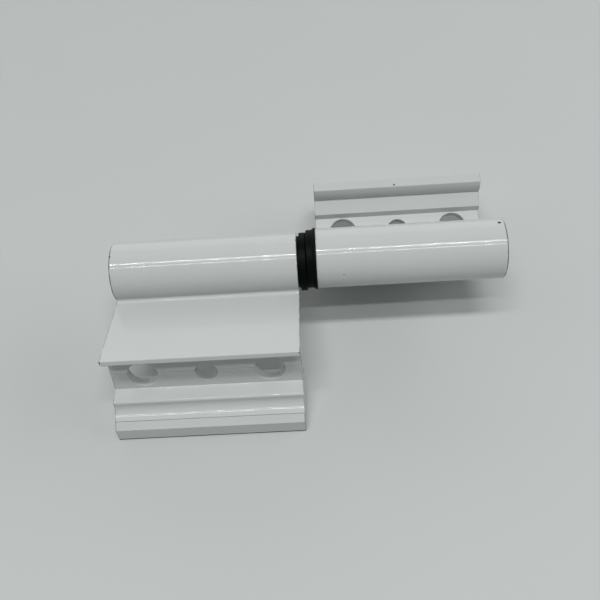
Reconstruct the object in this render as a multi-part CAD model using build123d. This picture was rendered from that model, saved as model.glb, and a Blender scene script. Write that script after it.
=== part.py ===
from build123d import *
from math import asin, atan2, cos, degrees, hypot, radians, sin, sqrt, tan
import os

# Folding door hinge of the flag type, millimetres.
# Two lengths of one aluminium extrusion turn about a steel pin in black nylon bushes.
# X runs along the pin. The left leaf stands on its foot, reaching out along -Y.
# The right leaf is swung round behind, until its lip touches the ground.
# The origin is the middle of the footprint, at ground level.

# Leaf section. "Out" is away from the barrel axis, "below" is down from it, with the foot level.
leaf_length = 90.0
barrel_radius = 14.65
barrel_bore = 10.5
foot_below = 43.9          # barrel axis to the flat underside of the foot

wing_rise = 12.2           # degrees that the wing climbs on its way out
wing_drop = 9.5            # barrel axis to the wing's top face, square to the wing
wing_wall = 2.7
lip_overhang = 3.3         # web's foot to the lip, which the wing reaches past it
lip_radius = 0.4
bead_inset = 1.9           # lip to the bead under it
bead_wall = 1.3
bead_depth = 1.6
barrel_fillet = 1.4
wing_fillet = 2.0

web_out = 52.8             # barrel axis to the web's outer face, at the ledge
web_wall = 4.7
web_lean = 10.2             # degrees that the web leans in on its way up

# Outer flank of the foot, from the web downwards: ledge, wide cove, small riser, bevel, toe.
ledge_below = 25.3
ledge_out = 60.9
ledge_radius = 1.3
cove_start = 2.0           # below the ledge
cove_radius = 5.1
step_out = 66.4
step_radius = 0.3
step_riser = 0.85
bevel_drop = 2.4
toe_out = 69.7
edge_radius = 0.5

# Inner flank of the foot: sloping ledge, broad leaning face, small riser, cove, heel.
shoulder_below = 25.4
shoulder_drop = 1.9
shoulder_width = 3.4
lean_width = 0.9
riser_below = 35.3
riser_width = 0.6
heel_out = 36.7
heel_height = 4.6
heel_undercut = 0.75        # the heel's lower edge stands back from its nose
heel_cove_sag = 0.6

# Fixing holes in the web, with two fine centre lines that the extrusion carries between them.
hole_below = 16.75
hole_pitch = 30.0
outer_hole_radius = 7.35
middle_hole_radius = 5.45
line_spacing = 1.8
line_depth = 0.25

# Pin and bushes. The right barrel sits off the pin's axis by the bush's eccentricity.
pin_radius = 7.0
pin_chamfer = 0.8
offset = 1.7
offset_turn = 52.0         # degrees of the offset from the foot's side towards the back of the barrel
running_clearance = 0.05
seat_clearance = 0.03
thrust_clearance = 0.1

boss_radius = 12.7
boss_width = 1.15
left_flange_radius = 14.3
left_flange_width = 3.3
right_flange_radius = 14.2
right_flange_width = 2.65
flare_width = 1.4
rim_radius = 15.15
rim_width = 0.7
flange_chamfer = 0.4
sleeve_length = 32.0
end_bush_length = 20.0

plug_wall = 0.35
plug_radius = 14.4
plug_depth = 8.0

# Places that follow from the sizes above.
wing_reach = web_out + lip_overhang
left_end = -(thrust_clearance / 2 + left_flange_width + boss_width)
right_end = thrust_clearance / 2 + right_flange_width + flare_width + rim_width
pin_left = left_end - leaf_length + plug_depth
pin_right = right_end + leaf_length - plug_depth


def on_wing(along, below):
    """Point of the section given along the wing and square below the barrel axis."""
    a = radians(wing_rise)
    return (along * cos(a) + below * sin(a), along * sin(a) - below * cos(a))


def web_face(below):
    """How far out the web's outer face is at a depth below the barrel axis."""
    return web_out - (ledge_below - below) * tan(radians(web_lean))


def web_top(inset):
    """Corner of the section where the web, or a line set in from its outer face, meets the wing."""
    a, b = tan(radians(web_lean)), tan(radians(wing_rise))
    foot = web_out - inset / cos(radians(web_lean)) - ledge_below * a
    under = (wing_drop + wing_wall) / cos(radians(wing_rise))
    up = (b * foot - under) / (1 - a * b)
    return (foot - a * up, up)


def off_pin(way):
    """Place of the right barrel's axis from the pin's, with its leaf upright, or the other way about."""
    a = radians(offset_turn)
    return (0, way * offset * sin(a), -way * offset * cos(a))


def resting_angle():
    """Turn of the right leaf about the pin at which its rounded lip touches the ground."""
    out, up = on_wing(wing_reach - lip_radius, wing_drop + lip_radius)
    out -= off_pin(1)[1]
    up += off_pin(1)[2]
    return 180 + degrees(atan2(up, out) - asin((foot_below - lip_radius) / hypot(out, up)))


def rounded(sketch, points, radius):
    """Rounds the corners of the sketch that lie at the given points."""
    corners = [sketch.vertices().sort_by_distance((*p, 0))[0] for p in points]
    return fillet(corners, radius)


def plate_outline():
    """Wing, web and foot as one closed outline, its root buried in the barrel."""
    under = wing_drop + wing_wall
    web_in = web_face(shoulder_below) - web_wall / cos(radians(web_lean))
    bead_out = wing_reach - bead_inset
    bead_in = bead_out - bead_wall
    shoulder_out = web_in - shoulder_width
    cove_top = ledge_below + cove_start
    cove_foot = cove_top + cove_radius
    bevel_top = cove_foot + step_riser
    heel_top = foot_below - heel_height
    c = cove_radius * (1 - sqrt(0.5))
    with BuildLine() as line:
        Polyline(on_wing(0, wing_drop), on_wing(wing_reach, wing_drop), on_wing(wing_reach, under),
                 on_wing(bead_out, under), on_wing(bead_out, under + bead_depth),
                 on_wing(bead_in, under + bead_depth), on_wing(bead_in, under),
                 web_top(0), (web_out, -ledge_below),
                 (ledge_out, -ledge_below), (ledge_out, -cove_top))
        ThreePointArc((ledge_out, -cove_top), (ledge_out + c, -cove_foot + c),
                      (ledge_out + cove_radius, -cove_foot))
        Polyline((ledge_out + cove_radius, -cove_foot), (step_out, -cove_foot), (step_out, -bevel_top),
                 (toe_out, -bevel_top - bevel_drop), (toe_out, -foot_below),
                 (heel_out + heel_undercut, -foot_below), (heel_out, -heel_top))
        SagittaArc((heel_out, -heel_top),
                   (shoulder_out - lean_width - riser_width, -riser_below), heel_cove_sag)
        Polyline((shoulder_out - lean_width - riser_width, -riser_below),
                 (shoulder_out - lean_width, -riser_below),
                 (shoulder_out, -shoulder_below - shoulder_drop), (web_in, -shoulder_below),
                 web_top(web_wall), on_wing(0, under), on_wing(0, wing_drop))
    return make_face(line.line)


def leaf_section():
    """Whole section of the extrusion, about the barrel axis."""
    under = wing_drop + wing_wall
    plate = plate_outline()
    plate = rounded(plate, [on_wing(wing_reach, wing_drop), on_wing(wing_reach, under)], lip_radius)
    plate = rounded(plate, [(ledge_out, -ledge_below)], ledge_radius)
    plate = rounded(plate, [(step_out, -ledge_below - cove_start - cove_radius)], step_radius)
    plate = rounded(plate, [(toe_out, -foot_below), (heel_out + heel_undercut, -foot_below),
                            (heel_out, heel_height - foot_below)], edge_radius)
    plate = rounded(plate, [web_top(web_wall)], wing_fillet)
    section = plate + Circle(barrel_radius)
    for below, radius in ((wing_drop, barrel_fillet), (under, wing_fillet)):
        along = sqrt(barrel_radius ** 2 - below ** 2)
        section = rounded(section, [on_wing(along, below)], radius)
    section -= Circle(barrel_bore)
    for side in (-1, 1):
        at = -hole_below + side * line_spacing / 2
        out = web_face(-at)
        section -= make_face(Polyline((out + 1, at - line_depth - 1), (out - line_depth, at),
                                      (out + 1, at + line_depth + 1), close=True))
    return section


def leaf():
    """One leaf, barrel axis on X, from X = 0 to the left, with its three holes."""
    plane = Plane(origin=(0, 0, 0), x_dir=(0, -1, 0), z_dir=(-1, 0, 0))
    body = extrude(plane * leaf_section(), leaf_length)
    for place, radius in ((-1, outer_hole_radius), (0, middle_hole_radius), (1, outer_hole_radius)):
        at = Location((-leaf_length / 2 + place * hole_pitch, -web_face(hole_below), -hole_below))
        body -= at * Rotation(90 - web_lean, 0, 0) * Cylinder(radius, web_wall * 4)
    return body


def turned(outline):
    """Solid of revolution about the pin's axis, from (along, radius) corners."""
    return revolve(make_face(Polyline(*outline, close=True)), Axis.X)


def pin_bore(clearance, place=(0, 0, 0)):
    """Cutter for the pin's hole, at its place from the piece's own axis."""
    return Location(place) * Rotation(0, 90, 0) * Cylinder(pin_radius + clearance, 4 * leaf_length)


def left_bush():
    """Flanged nylon bush of the left barrel, with the small boss that stands on the barrel's end."""
    face = -thrust_clearance / 2
    sleeve = barrel_bore - seat_clearance
    body = turned([(face, 0), (face, left_flange_radius - flange_chamfer),
                   (face - flange_chamfer, left_flange_radius), (left_end + boss_width, left_flange_radius),
                   (left_end + boss_width, boss_radius), (left_end, boss_radius), (left_end, sleeve),
                   (left_end - sleeve_length, sleeve), (left_end - sleeve_length, 0)])
    return body - pin_bore(seat_clearance)


def right_bush():
    """Flanged eccentric bush of the right barrel, its rim flared to cover the barrel's end."""
    face = thrust_clearance / 2
    sleeve = barrel_bore - seat_clearance
    flare = face + right_flange_width
    body = turned([(face, 0), (face, right_flange_radius - flange_chamfer),
                   (face + flange_chamfer, right_flange_radius), (flare, right_flange_radius),
                   (flare + flare_width, rim_radius), (right_end, rim_radius), (right_end, sleeve),
                   (right_end + sleeve_length, sleeve), (right_end + sleeve_length, 0)])
    return body - pin_bore(running_clearance, off_pin(-1))


def end_bush(outer_end, way, clearance, place):
    """Plain bush that carries one end of the pin, from outer_end inwards."""
    start, end = sorted((outer_end, outer_end + way * end_bush_length))
    body = Location(((start + end) / 2, 0, 0)) * Rotation(0, 90, 0) * Cylinder(
        barrel_bore - seat_clearance, end - start)
    return body - pin_bore(clearance, place)


def end_plug(barrel_end, way):
    """Push-in plug that closes a barrel, with a thin head over the tube's end."""
    stem = barrel_bore - seat_clearance
    inner = barrel_end + way * (plug_depth - seat_clearance)
    outer = barrel_end - way * plug_wall
    return turned([(inner, 0), (inner, stem - edge_radius), (inner - way * edge_radius, stem),
                   (barrel_end, stem), (barrel_end, plug_radius),
                   (outer, plug_radius - plug_wall / 2), (outer, 0)])


def pin():
    """Steel pin with chamfered ends, held in the left barrel's bushes."""
    return turned([(pin_left, 0), (pin_left, pin_radius - pin_chamfer), (pin_left + pin_chamfer, pin_radius),
                   (pin_right - pin_chamfer, pin_radius), (pin_right, pin_radius - pin_chamfer), (pin_right, 0)])


# The fixed side, with the pin's axis on X.
fixed = {
    "left_leaf": Location((left_end, 0, 0)) * leaf(),
    "left_flanged_bush": left_bush(),
    "left_end_bush": end_bush(pin_left, 1, seat_clearance, (0, 0, 0)),
    "left_end_plug": end_plug(left_end - leaf_length, 1),
    "hinge_pin": pin(),
}

# The swinging side about its own barrel axis.
swinging = {
    "right_leaf": Location((right_end + leaf_length, 0, 0)) * leaf(),
    "right_eccentric_bush": right_bush(),
    "right_end_bush": end_bush(pin_right, -1, running_clearance, off_pin(-1)),
    "right_end_plug": end_plug(right_end + leaf_length, -1),
}

# The right barrel is set off from the pin, then the leaf turns about the pin.
to_rest = Rotation(resting_angle(), 0, 0) * Location(off_pin(1))
pieces = dict(fixed)
for name, solid in swinging.items():
    pieces[name] = to_rest * solid

# All pieces move together to the middle of their footprint, with the foot on the ground.
box = Compound(children=[Part() + solid for solid in pieces.values()]).bounding_box()
to_ground = Location((-(box.min.X + box.max.X) / 2, -(box.min.Y + box.max.Y) / 2, foot_below))

os.makedirs("parts", exist_ok=True)
for name, solid in pieces.items():
    export_step(to_ground * solid, f"parts/{name}.step")
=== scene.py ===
import bpy
from math import cos, radians, sin
from mathutils import Matrix, Vector

# Folding door hinge: two powder-coated leaves on a steel pin in black nylon bushes.
# All sizes are metres in the frame of the CAD part, unless a name says millimetres.
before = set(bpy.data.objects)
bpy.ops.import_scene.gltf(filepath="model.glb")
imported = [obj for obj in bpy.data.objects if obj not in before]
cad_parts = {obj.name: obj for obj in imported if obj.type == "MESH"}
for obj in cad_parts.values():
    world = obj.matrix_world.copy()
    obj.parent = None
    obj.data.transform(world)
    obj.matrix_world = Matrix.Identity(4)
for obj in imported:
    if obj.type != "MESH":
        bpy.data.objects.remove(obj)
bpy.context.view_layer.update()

# ---------------------------------------------------------------------------
# Leaves
# Two cuts of one aluminium extrusion, drilled and then sprayed with white polyester
# powder, which flows in the oven to a gloss skin with a faint orange peel.
# ---------------------------------------------------------------------------
mm = 0.001


def linear(hex_colour):
    """Linear RGBA of an sRGB hex colour."""
    channels = [int(hex_colour[i:i + 2], 16) / 255 for i in (1, 3, 5)]
    return [c / 12.92 if c <= 0.04045 else ((c + 0.055) / 1.055) ** 2.4 for c in channels] + [1.0]


def add_node(tree, kind, settings=None, **inputs):
    """Adds a node. Settings are its own properties. An input is a value, or a (node, output) pair to link.
    An input's name has _ for each space, or is i0, i1, ... for its place."""
    node = tree.nodes.new(kind)
    for name, value in (settings or {}).items():
        setattr(node, name, value)
    for name, value in inputs.items():
        numbered = name[0] == "i" and name[1:].isdigit()
        socket = node.inputs[int(name[1:])] if numbered else node.inputs[name.replace("_", " ")]
        if isinstance(value, tuple) and isinstance(value[0], bpy.types.Node):
            tree.links.new(value[0].outputs[value[1]], socket)
        else:
            socket.default_value = value
    return node


def new_material(name):
    """An empty node material and its tree."""
    material = bpy.data.materials.new(name)
    material.use_nodes = True
    material.node_tree.nodes.clear()
    return material, material.node_tree


def finish_node(name, material):
    """Gives every slot of a CAD node the material."""
    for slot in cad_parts[name].material_slots:
        slot.material = material


# Gloss white polyester powder coat. It gives the eye a milky, slightly cool white with narrow
# highlights that the orange peel leaves uneven, a grey line along the sawn edges, where the coat
# is thin, and a few small chips. Its reflections are held below a real coat's, to the strength seen.
coat_white = "#C4C8C6"
coat_shade = "#BFC3C2"
edge_grey = "#8A8E8C"
chip_grey = "#34383A"
painted_contact_shadow = "#1A1D1C"
peel_pitch = 6.0 * mm        # from crest to crest of the orange peel
peel_height = 0.018 * mm
mottle_pitch = 28 * mm       # slow change of the film's thickness
leaf_middle = 49.65 * mm     # from the joint to the middle of each leaf, along X
leaf_half = 45 * mm
edge_width = 0.28 * mm
end_skin = 0.01 * mm         # keeps the grey of the edges off the end faces
dirt_pitch = 3 * mm          # breaks the grey line and ragged chips into patches
toe_line = 0.9 * mm          # height of the painted contact shadow where the left foot meets the table
# Small chips through the coat: place and radius, millimetres.
chips = (((-94.6, -7.25, 58.2), 0.5), ((92.57, -0.87, 59.89), 0.75),
         ((17.42, -18.41, 48.6), 0.35), ((48.25, 50.57, 42.47), 0.45),
         ((-94.5, -60.9, 45.8), 0.5), ((-4.8, -60.9, 46.0), 0.45), ((-4.7, -3.42, 58.54), 0.3))

coat, tree = new_material("gloss_white_powder_coat")
place = add_node(tree, "ShaderNodeTexCoord")
mottle = add_node(tree, "ShaderNodeTexNoise", Vector=(place, "Object"), Scale=1 / mottle_pitch, Detail=2.0)
tint = add_node(tree, "ShaderNodeMix", {"data_type": "RGBA"}, Factor=(mottle, "Fac"),
                i6=linear(coat_shade), i7=linear(coat_white))
axes = add_node(tree, "ShaderNodeSeparateXYZ", Vector=(place, "Object"))
dirt = add_node(tree, "ShaderNodeTexNoise", Vector=(place, "Object"), Scale=1 / dirt_pitch, Detail=3.0)
patchy = add_node(tree, "ShaderNodeMapRange", Value=(dirt, "Fac"), From_Min=0.35, From_Max=0.55)
distance = add_node(tree, "ShaderNodeMath", {"operation": "ABSOLUTE"}, i0=(axes, "X"), i1=0.0)
distance = add_node(tree, "ShaderNodeMath", {"operation": "SUBTRACT"}, i0=(distance, 0), i1=leaf_middle)
distance = add_node(tree, "ShaderNodeMath", {"operation": "ABSOLUTE"}, i0=(distance, 0), i1=0.0)
rim = add_node(tree, "ShaderNodeMath", {"operation": "GREATER_THAN"}, i0=(distance, 0), i1=leaf_half - edge_width)
end_face = add_node(tree, "ShaderNodeMath", {"operation": "GREATER_THAN"}, i0=(distance, 0), i1=leaf_half - end_skin)
rim = add_node(tree, "ShaderNodeMath", {"operation": "SUBTRACT"}, i0=(rim, 0), i1=(end_face, 0))
rim = add_node(tree, "ShaderNodeMath", {"operation": "MULTIPLY"}, i0=(rim, 0), i1=(patchy, 0))
tint = add_node(tree, "ShaderNodeMix", {"data_type": "RGBA"}, Factor=(rim, 0), i6=(tint, 2), i7=linear(edge_grey))
# Painted contact shadow: a near-black band along the bottom of the left leaf, up to toe_line above the table.
painted_toe_shadow = add_node(tree, "ShaderNodeMath", {"operation": "LESS_THAN"}, i0=(axes, "Z"), i1=toe_line)
on_left = add_node(tree, "ShaderNodeMath", {"operation": "LESS_THAN"}, i0=(axes, "X"), i1=0.0)
painted_toe_shadow = add_node(tree, "ShaderNodeMath", {"operation": "MULTIPLY"}, i0=(painted_toe_shadow, 0), i1=(on_left, 0))
tint = add_node(tree, "ShaderNodeMix", {"data_type": "RGBA"}, Factor=(painted_toe_shadow, 0), i6=(tint, 2), i7=linear(painted_contact_shadow))
for centre, radius in chips:
    away = add_node(tree, "ShaderNodeVectorMath", {"operation": "DISTANCE"},
                    i0=(place, "Object"), i1=[v * mm for v in centre])
    ragged = add_node(tree, "ShaderNodeMath", {"operation": "MULTIPLY"}, i0=(dirt, "Fac"), i1=2 * radius * mm)
    inside = add_node(tree, "ShaderNodeMath", {"operation": "LESS_THAN"}, i0=(away, "Value"), i1=(ragged, 0))
    tint = add_node(tree, "ShaderNodeMix", {"data_type": "RGBA"}, Factor=(inside, 0),
                    i6=(tint, 2), i7=linear(chip_grey))
peel = add_node(tree, "ShaderNodeTexNoise", Vector=(place, "Object"), Scale=1 / peel_pitch, Detail=1.0, Roughness=0.4)
skin = add_node(tree, "ShaderNodeBump", Height=(peel, "Fac"), Distance=peel_height, Strength=1.0)
gloss = add_node(tree, "ShaderNodeMapRange", Value=(mottle, "Fac"), To_Min=0.07, To_Max=0.09)
shader = add_node(tree, "ShaderNodeBsdfPrincipled", Base_Color=(tint, 2), Roughness=(gloss, 0), Normal=(skin, 0))
shader.inputs["IOR"].default_value = 1.5
shader.inputs["Specular IOR Level"].default_value = 0.18
add_node(tree, "ShaderNodeOutputMaterial", Surface=(shader, 0))
for node in ("left_leaf", "right_leaf"):
    finish_node(node, coat)

# ---------------------------------------------------------------------------
# Bushes and end plugs
# Injection-moulded nylon, black right through. The flanged pair shows between the barrels,
# and each barrel's outer end is closed by a push-in plug with a thin head.
# ---------------------------------------------------------------------------
nylon_black = "#010202"
nylon_worn = "#030404"
grain_pitch = 0.9 * mm       # spark-eroded mould face, drawn coarser than it is so that it shows
grain_height = 0.006 * mm

# Black nylon. It gives the eye a dead black with barely a sheen.
nylon, tree = new_material("moulded_black_nylon")
place = add_node(tree, "ShaderNodeTexCoord")
grain = add_node(tree, "ShaderNodeTexNoise", Vector=(place, "Object"), Scale=1 / grain_pitch, Detail=3.0)
tint = add_node(tree, "ShaderNodeMix", {"data_type": "RGBA"}, Factor=(grain, "Fac"),
                i6=linear(nylon_black), i7=linear(nylon_worn))
skin = add_node(tree, "ShaderNodeBump", Height=(grain, "Fac"), Distance=grain_height, Strength=1.0)
shader = add_node(tree, "ShaderNodeBsdfPrincipled", Base_Color=(tint, 2), Normal=(skin, 0))
shader.inputs["Roughness"].default_value = 0.5
shader.inputs["Specular IOR Level"].default_value = 0.05
shader.inputs["IOR"].default_value = 1.53
add_node(tree, "ShaderNodeOutputMaterial", Surface=(shader, 0))
for node in ("left_flanged_bush", "right_eccentric_bush", "left_end_bush", "right_end_bush",
             "left_end_plug", "right_end_plug"):
    finish_node(node, nylon)

# ---------------------------------------------------------------------------
# Pin
# Centreless-ground steel bar with chamfered ends, pressed into the left barrel's bushes.
# It is hidden unless the leaves are drawn apart.
# ---------------------------------------------------------------------------
steel_grey = "#B9BBBD"
steel_dark = "#A2A4A6"
scratch_pitch = 0.25 * mm    # grinding lines run round the pin, drawn coarser than they are
scratch_scale = 8.0          # across the pin, where the lines hardly change

# Ground steel. It gives the eye a satin grey with fine rings.
steel, tree = new_material("ground_steel")
place = add_node(tree, "ShaderNodeTexCoord")
along = add_node(tree, "ShaderNodeMapping", Vector=(place, "Object"),
                 Scale=(1 / scratch_pitch, scratch_scale, scratch_scale))
lines = add_node(tree, "ShaderNodeTexNoise", Vector=(along, 0), Scale=1.0, Detail=2.0)
tint = add_node(tree, "ShaderNodeMix", {"data_type": "RGBA"}, Factor=(lines, "Fac"),
                i6=linear(steel_dark), i7=linear(steel_grey))
rough = add_node(tree, "ShaderNodeMapRange", Value=(lines, "Fac"), To_Min=0.2, To_Max=0.34)
shader = add_node(tree, "ShaderNodeBsdfPrincipled", Base_Color=(tint, 2), Roughness=(rough, 0))
shader.inputs["Metallic"].default_value = 1.0
add_node(tree, "ShaderNodeOutputMaterial", Surface=(shader, 0))
finish_node("hinge_pin", steel)

# ---------------------------------------------------------------------------
# Table
# A plain pale sheet that the hinge stands on.
# ---------------------------------------------------------------------------
table_grey = "#BDC1BF"
table_shade = "#BABEBC"
table_size = 3.9             # stops short of the walls
cloud_scale = 9.0            # about 110 mm from cloud to cloud

bpy.ops.object.select_all(action="DESELECT")
bpy.ops.mesh.primitive_plane_add(size=table_size, location=(0, 0, 0))
table = bpy.context.object
table.name = "table"
# Matt laminated board. It gives the eye a flat pale grey that takes soft shadows.
board, tree = new_material("matt_pale_board")
place = add_node(tree, "ShaderNodeTexCoord")
cloud = add_node(tree, "ShaderNodeTexNoise", Vector=(place, "Object"), Scale=cloud_scale, Detail=2.0)
tint = add_node(tree, "ShaderNodeMix", {"data_type": "RGBA"}, Factor=(cloud, "Fac"),
                i6=linear(table_shade), i7=linear(table_grey))
shader = add_node(tree, "ShaderNodeBsdfPrincipled", Base_Color=(tint, 2))
shader.inputs["Roughness"].default_value = 0.7
add_node(tree, "ShaderNodeOutputMaterial", Surface=(shader, 0))
table.data.materials.append(board)

# ---------------------------------------------------------------------------
# Light
# Two long rows of lamp panels overhead, parallel to the pin and leaning to the viewer's side,
# and the pale walls of the room behind the hinge and on either hand.
# ---------------------------------------------------------------------------
pin_place = Vector((0, -0.004043, 0.0439))
lamp_reach = 3.2             # from the pin, about a ceiling's height
lamp_length = 2.2
panels = 17                  # equal panels, evenly spaced along each lamp
panel_share = 0.4            # lit part of each space
room_white = "#F4F8F6"
room_strength = 0.02         # light from the room at large


def area_light(name, size, power, location, rotation):
    """A rectangular lamp or lit wall."""
    data = bpy.data.lights.new(name, "AREA")
    data.shape = "RECTANGLE"
    data.size, data.size_y = size
    data.energy = power
    light = bpy.data.objects.new(name, data)
    bpy.context.scene.collection.objects.link(light)
    light.location = location
    light.rotation_euler = rotation


# Each row: name, elevation above the table in degrees, width in metres, power in watts.
for name, elevation, width, power in (("lamp_high", 75.5, 0.30, 59.0), ("lamp_low", 62.5, 0.22, 41.0)):
    space = lamp_length / panels
    tilt = radians(elevation)
    for number in range(panels):
        along_x = (number + 0.5) * space - lamp_length / 2
        location = pin_place + Vector((along_x, -lamp_reach * cos(tilt), lamp_reach * sin(tilt)))
        area_light(name + "_panel", (space * panel_share, width), power / panels, location,
                   (-(radians(90) - tilt), 0, 0))

# Each wall: name, middle and size in metres, power in watts. All of them face the hinge.
for name, middle, size, power in (("wall_behind", (0, 2.0, 0.9), (4.0, 1.6), 17.0),
                                  ("wall_left", (-2.0, 0.2, 0.9), (2.5, 1.6), 11.4),
                                  ("wall_right", (2.0, 0.2, 0.9), (2.5, 1.6), 22.5)):
    area_light(name, size, power, middle, Vector(middle).to_track_quat("Z", "Y").to_euler())

# The camera and reflections see a backdrop as pale as the table.
world = bpy.data.worlds.new("room")
bpy.context.scene.world = world
world.use_nodes = True
tree = world.node_tree
tree.nodes.clear()
room = add_node(tree, "ShaderNodeBackground", Color=linear(room_white), Strength=room_strength)
backdrop = add_node(tree, "ShaderNodeBackground", Color=linear(table_grey), Strength=1.0)
seen = add_node(tree, "ShaderNodeLightPath")
shown = add_node(tree, "ShaderNodeMath", {"operation": "MAXIMUM"},
                 i0=(seen, "Is Camera Ray"), i1=(seen, "Is Glossy Ray"))
shown = add_node(tree, "ShaderNodeMath", {"operation": "MAXIMUM"}, i0=(shown, 0), i1=(seen, "Is Transmission Ray"))
both = add_node(tree, "ShaderNodeMixShader", i0=(shown, 0), i1=(room, 0), i2=(backdrop, 0))
add_node(tree, "ShaderNodeOutputWorld", Surface=(both, 0))

# ---------------------------------------------------------------------------
# Camera
# Held in front of the hinge and above it, a little askew, as in the photograph.
# ---------------------------------------------------------------------------
camera_place = Vector((8.600, -256.052, 311.044)) * mm
camera_elevation = radians(49.613)
camera_yaw = radians(-2.064)
camera_roll = radians(-3.148)
focal_pixels = 743.1
photo_pixels = 600

data = bpy.data.cameras.new("camera")
data.sensor_fit = "HORIZONTAL"
data.sensor_width = 36.0
data.lens = focal_pixels / photo_pixels * data.sensor_width
data.clip_start = 0.01
camera = bpy.data.objects.new("camera", data)
bpy.context.scene.collection.objects.link(camera)
right = Vector((1, 0, 0))
up = Vector((0, sin(camera_elevation), cos(camera_elevation)))
back = Vector((0, -cos(camera_elevation), sin(camera_elevation)))
right, back = right * cos(camera_yaw) + back * sin(camera_yaw), back * cos(camera_yaw) - right * sin(camera_yaw)
right, up = right * cos(camera_roll) + up * sin(camera_roll), up * cos(camera_roll) - right * sin(camera_roll)
turn = Matrix((right, up, back)).transposed()
camera.matrix_world = Matrix.Translation(camera_place) @ turn.to_4x4()
bpy.context.scene.camera = camera
bpy.context.scene.view_settings.view_transform = "Standard"
